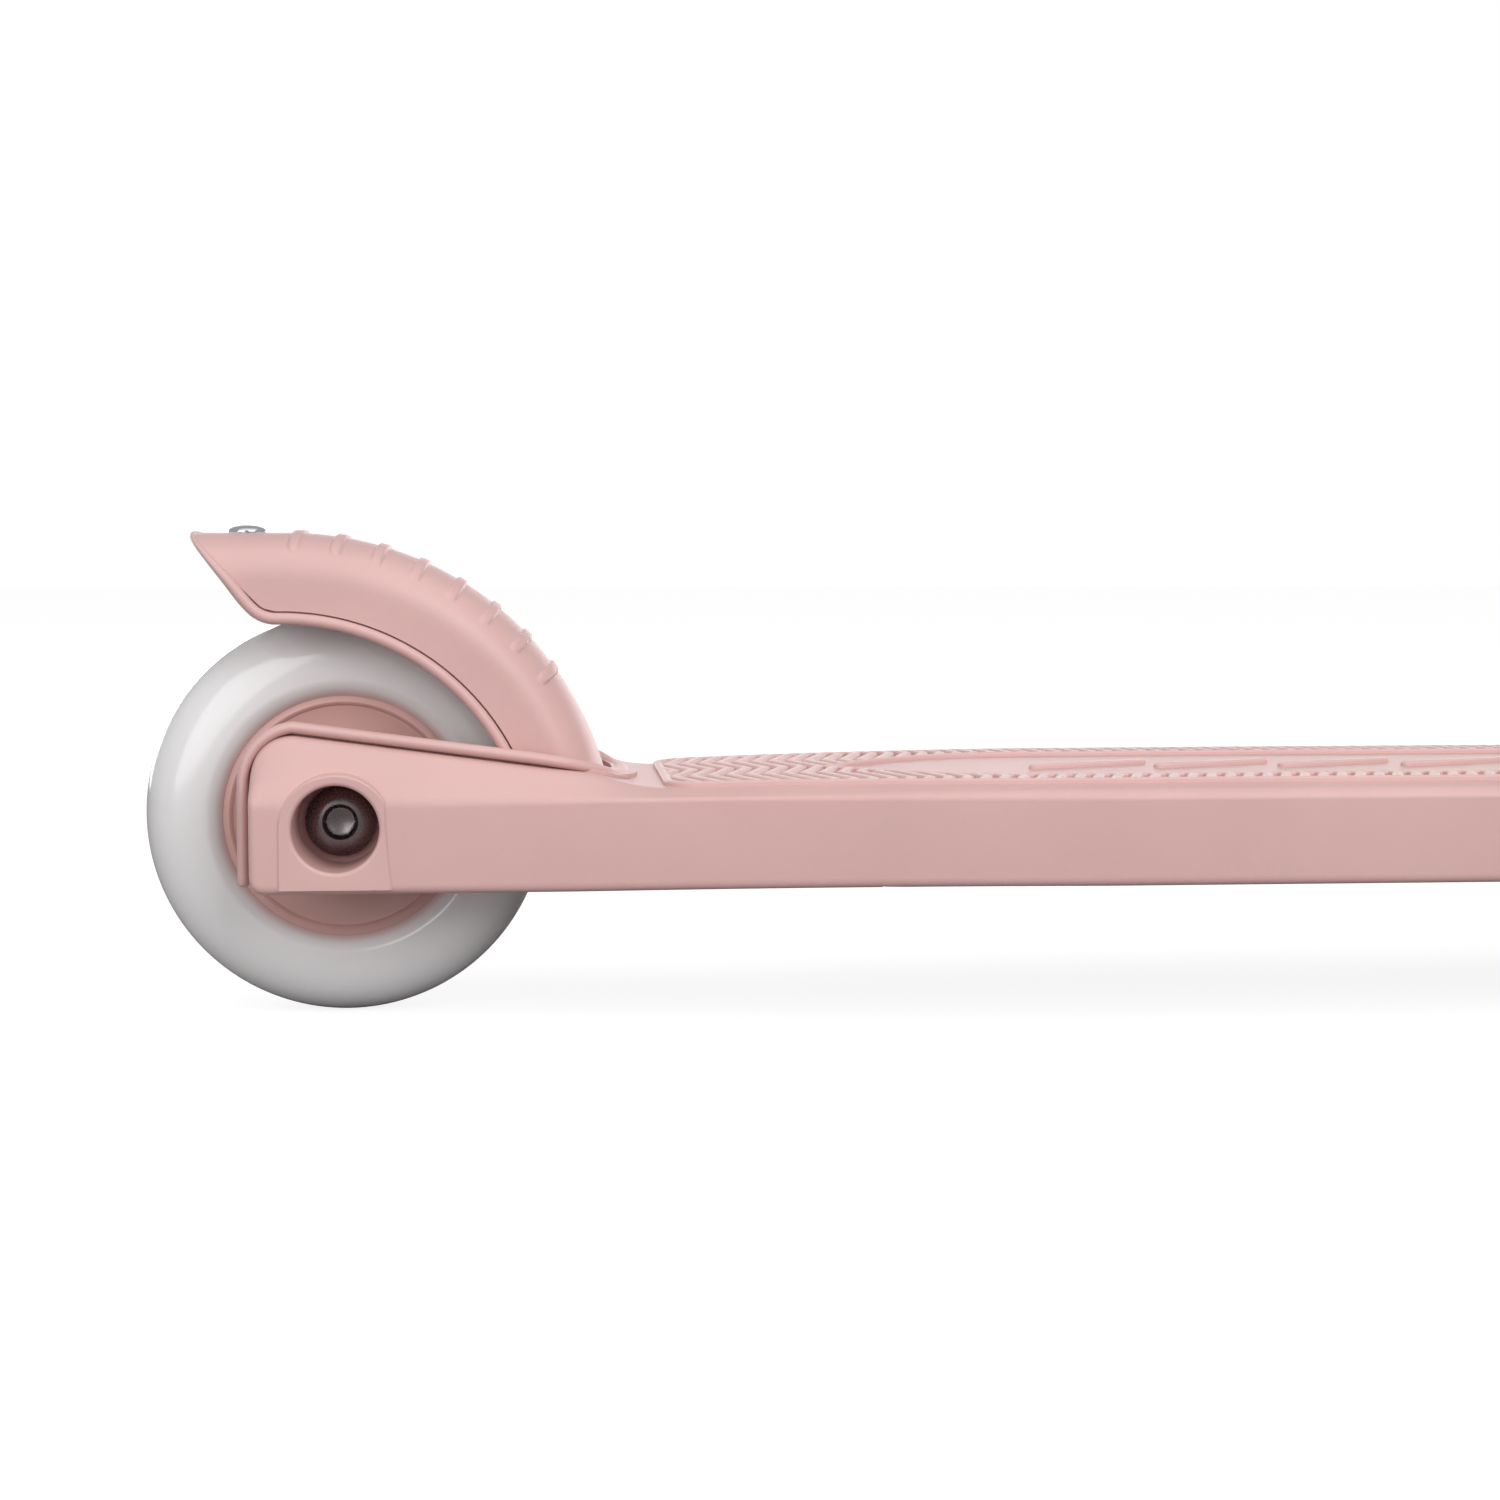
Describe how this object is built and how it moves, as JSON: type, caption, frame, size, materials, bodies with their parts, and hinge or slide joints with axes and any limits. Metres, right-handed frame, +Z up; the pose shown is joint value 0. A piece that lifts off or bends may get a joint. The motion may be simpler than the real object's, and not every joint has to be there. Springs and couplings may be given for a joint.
{
  "type": "kick scooter",
  "caption": "Child's three-wheel kick scooter with a foot deck, rear fender brake, lean steering and telescopic handlebar.",
  "frame": {"origin": "middle of the footprint, on the ground", "axes": "+X is the way the scooter rolls, +Y is its left side, +Z is up"},
  "size_m": [0.56, 0.25, 0.6823],
  "materials": {
    "pink_plastic": "fine satin texture",
    "tyre_pu": "clear glossy cast",
    "wheel_core": "semi-gloss moulded",
    "white_plastic": "fine satin texture",
    "grip_rubber": "soft matt",
    "aluminium": "satin anodised",
    "dark_steel": "blackened",
    "chrome": "polished",
    "steel": "zinc plated"
  },
  "bodies": {
    "frame": {"deck": "pink_plastic", "tail_liner": "pink_plastic", "rear_bearing_spacer": "steel", "rear_axle_bolt": "dark_steel", "rear_axle_nut": "dark_steel", "fender_hinge_pin": "steel", "fender_spring": "steel", "front_housing": "white_plastic", "front_cover": "pink_plastic", "kingpin_left": "steel", "kingpin_right": "steel", "centring_spring_left": "steel", "centring_spring_right": "steel", "housing_bolt_rear": "dark_steel", "housing_bolt_front": "dark_steel", "column_socket": "white_plastic", "steering_column": "aluminium", "clamp_collar": "white_plastic", "clamp_bolt": "steel", "clamp_nut": "steel", "clamp_lever_pin": "steel"},
    "rear_wheel": {"rear_tyre": "tyre_pu", "rear_hub": "wheel_core", "rear_bearing_left": "steel", "rear_bearing_right": "steel"},
    "fender_brake": {"fender_cover": "pink_plastic", "fender_liner": "pink_plastic", "brake_plate": "steel", "fender_rivet": "chrome"},
    "tie_rod": {"tie_rod": "aluminium"},
    "release_button": {"release_button": "pink_plastic"},
    "clamp_lever": {"clamp_lever": "pink_plastic"},
    "handlebar": {"upper_tube": "aluminium", "handlebar": "pink_plastic", "stem_screw": "dark_steel", "grip_left": "grip_rubber", "grip_right": "grip_rubber"},
    "knuckle_left": {"steering_knuckle_left": "aluminium", "tie_rod_pin_left": "steel", "front_axle_bolt_left": "dark_steel"},
    "front_wheel_left": {"front_tyre_left": "tyre_pu", "front_hub_left": "wheel_core", "front_bearing_inner_left": "steel", "front_bearing_outer_left": "steel", "front_wheel_cap_left": "pink_plastic"},
    "knuckle_right": {"steering_knuckle_right": "aluminium", "tie_rod_pin_right": "steel", "front_axle_bolt_right": "dark_steel"},
    "front_wheel_right": {"front_tyre_right": "tyre_pu", "front_hub_right": "wheel_core", "front_bearing_inner_right": "steel", "front_bearing_outer_right": "steel", "front_wheel_cap_right": "pink_plastic"}
  },
  "joints": [
    {"name": "rear_wheel_spin", "type": "hinge", "parent": "frame", "child": "rear_wheel", "pos_m": [-0.24, 0, 0.04], "axis": [0, 1, 0], "continuous": true},
    {"name": "fender_press", "type": "hinge", "parent": "frame", "child": "fender_brake", "pos_m": [-0.19594, 0, 0.04555], "axis": [0, -1, 0], "range_deg": [0, 4.5], "stiffness_Nm_per_rad": 1.5, "springref_deg": -20.05},
    {"name": "steer_left", "type": "hinge", "parent": "frame", "child": "knuckle_left", "pos_m": [0.22, 0.072, 0.06], "axis": [0.6428, 0, 0.766], "range_deg": [-15, 15], "stiffness_Nm_per_rad": 6},
    {"name": "steer_right", "type": "hinge", "parent": "frame", "child": "knuckle_right", "pos_m": [0.22, -0.072, 0.06], "axis": [0.6428, 0, 0.766], "range_deg": [-15, 15], "stiffness_Nm_per_rad": 6},
    {"name": "tie_rod_pivot", "type": "hinge", "parent": "knuckle_left", "child": "tie_rod", "pos_m": [0.23992, 0.072, 0.04329], "axis": [0.6428, 0, 0.766], "range_deg": [-15, 15]},
    {"name": "height", "type": "slide", "parent": "frame", "child": "handlebar", "axis": [-0.1564, 0, 0.9877], "range_m": [-0.18, 0.03]},
    {"name": "clamp_lever_turn", "type": "hinge", "parent": "frame", "child": "clamp_lever", "pos_m": [0.13538, -0.014, 0.41345], "axis": [0.1564, 0, -0.9877], "range_deg": [0, 110]},
    {"name": "release_press", "type": "slide", "parent": "frame", "child": "release_button", "axis": [0.9877, 0, 0.1564], "range_m": [0, 0.0025], "stiffness_N_per_m": 600},
    {"name": "front_wheel_spin_left", "type": "hinge", "parent": "knuckle_left", "child": "front_wheel_left", "pos_m": [0.22, 0.113, 0.06], "axis": [0, 1, 0], "continuous": true},
    {"name": "front_wheel_spin_right", "type": "hinge", "parent": "knuckle_right", "child": "front_wheel_right", "pos_m": [0.22, -0.113, 0.06], "axis": [0, 1, 0], "continuous": true}
  ],
  "couplings": [
    {"joint": "steer_right", "follows": "steer_left", "ratio": 1},
    {"joint": "tie_rod_pivot", "follows": "steer_left", "ratio": -1}
  ]
}
